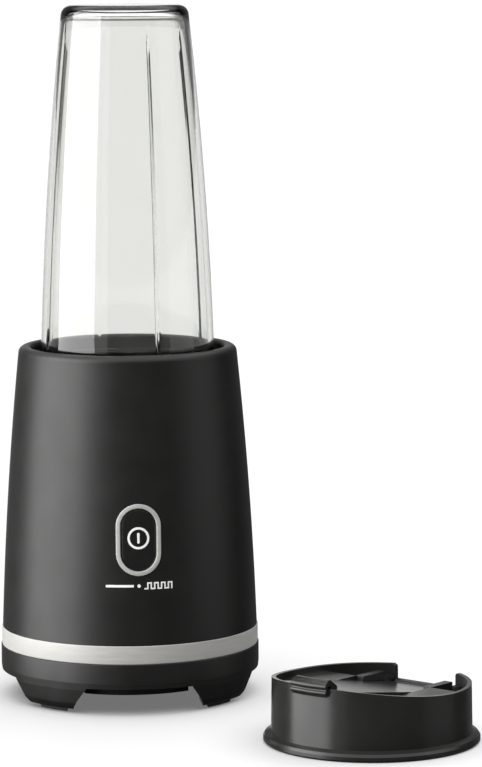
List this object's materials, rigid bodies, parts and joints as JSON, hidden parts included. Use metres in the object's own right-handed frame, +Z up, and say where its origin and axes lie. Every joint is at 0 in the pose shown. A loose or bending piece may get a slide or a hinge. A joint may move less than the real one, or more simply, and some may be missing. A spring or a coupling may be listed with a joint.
{
  "type": "countertop blender",
  "caption": "Personal countertop blender: tapered motor base with an oval button, inverted clear blending cup with blade base, and a travel lid with a drink flap.",
  "frame": {"origin": "on the motor base's axis at the table, the centre of the circle of the four foot screw holes", "axes": "+Z up along the motor's axis; -Y is the front, where the button is; +X is to the right seen from the front"},
  "size_m": [0.2059, 0.2332, 0.321],
  "materials": {
    "housing_black": "soft-touch matte black",
    "under_black": "matte black, unlit underside",
    "satin_silver": "satin silver",
    "white_mark": "white print",
    "button_black": "satin black",
    "inner_black": "moulded black plastic",
    "lid_black": "glossy moulded black",
    "clear_cup": "clear moulded plastic",
    "rubber_black": "matte rubber",
    "silicone_grey": "translucent grey silicone",
    "screw_steel": "zinc-plated steel",
    "blade_steel": "brushed stainless steel",
    "bracket_metal": "die-cast aluminium",
    "lamination_steel": "stacked steel laminations",
    "copper_wire": "enamelled copper wire",
    "bush_bronze": "sintered bronze",
    "board_green": "printed circuit board",
    "switch_grey": "switch housing",
    "brush_carbon": "carbon",
    "nylon_natural": "natural nylon"
  },
  "bodies": {
    "base": {"base_housing": "housing_black", "silver_band": "satin_silver", "foot_base": "housing_black", "bottom_plate": "under_black", "rubber_feet": "rubber_black", "case_screws": "screw_steel", "plate_screws": "screw_steel", "well_liner": "inner_black", "button_bezel": "satin_silver", "function_marks": "white_mark", "cord_gland": "rubber_black", "control_board": "board_green", "board_screws": "screw_steel", "button_switch": "switch_grey", "interlock_switch": "switch_grey", "motor_lower_bracket": "bracket_metal", "motor_cushions": "rubber_black", "motor_screws": "screw_steel", "motor_upper_bracket": "bracket_metal", "bracket_screws": "screw_steel", "motor_bolts": "screw_steel", "motor_spacers": "bush_bronze", "lower_bearing": "screw_steel", "upper_bearing": "screw_steel", "stator_core": "lamination_steel", "field_coils": "copper_wire", "brush_holders": "bush_bronze", "carbon_brushes": "brush_carbon"},
    "motor_rotor": {"motor_shaft": "blade_steel", "armature_core": "lamination_steel", "armature_windings": "copper_wire", "commutator": "copper_wire", "cooling_fan": "inner_black", "drive_coupling": "inner_black"},
    "blade_rotor": {"blade_shaft": "blade_steel", "driven_coupling": "inner_black", "thrust_washer": "bush_bronze", "lower_blade": "blade_steel", "upper_blade": "blade_steel", "blade_nut": "blade_steel"},
    "lock_ring": {"lock_ring": "switch_grey"},
    "interlock_plunger": {"interlock_plunger": "nylon_natural"},
    "blade_base": {"blade_base": "inner_black", "bearing_bush": "bush_bronze", "shaft_seal": "rubber_black"},
    "cup_gasket": {"cup_gasket": "silicone_grey"},
    "cup": {"blending_cup": "clear_cup"},
    "button": {"power_button": "button_black", "power_icon": "white_mark"},
    "travel_lid": {"lid_shell": "lid_black", "lid_gasket": "silicone_grey", "lid_hinge_pin": "screw_steel"},
    "lid_flap": {"lid_flap": "lid_black", "flap_seal": "rubber_black"}
  },
  "joints": [
    {"name": "motor_spin", "type": "hinge", "parent": "base", "child": "motor_rotor", "pos_m": [0, 0, 0.07], "axis": [0, 0, 1], "continuous": true},
    {"name": "blade_lift", "type": "slide", "parent": "motor_rotor", "child": "blade_rotor", "axis": [0, 0, 1], "range_m": [0, 0.06]},
    {"name": "cup_twist", "type": "hinge", "parent": "base", "child": "lock_ring", "pos_m": [0, 0, 0.121], "axis": [0, 0, 1], "range_deg": [0, 25]},
    {"name": "cup_lift", "type": "slide", "parent": "lock_ring", "child": "blade_base", "axis": [0, 0, 1], "range_m": [0, 0.06]},
    {"name": "cup_unscrew", "type": "hinge", "parent": "blade_base", "child": "cup_gasket", "pos_m": [0, 0, 0.13], "axis": [0, 0, 1], "range_deg": [0, 120]},
    {"name": "cup_pull", "type": "slide", "parent": "cup_gasket", "child": "cup", "axis": [0, 0, 1], "range_m": [0, 0.04]},
    {"name": "button_press", "type": "slide", "parent": "base", "child": "button", "axis": [0, 1, 0], "range_m": [0, 0.0018], "stiffness_N_per_m": 1500, "springref_m": -0.0003},
    {"name": "interlock_press", "type": "slide", "parent": "base", "child": "interlock_plunger", "axis": [0, 0, -1], "range_m": [0, 0.0021]},
    {"name": "lid_lift", "type": "slide", "parent": "base", "child": "travel_lid", "axis": [0, 0, 1], "range_m": [0, 0.06]},
    {"name": "flap_open", "type": "hinge", "parent": "travel_lid", "child": "lid_flap", "pos_m": [0.12575, -0.09371, 0.0169], "axis": [-0.6921, 0.7218, 0], "range_deg": [0, 110]}
  ],
  "couplings": [
    {"joint": "blade_lift", "follows": "cup_lift", "ratio": 1},
    {"joint": "interlock_press", "follows": "cup_twist", "m_per_rad": 0.004583}
  ]
}
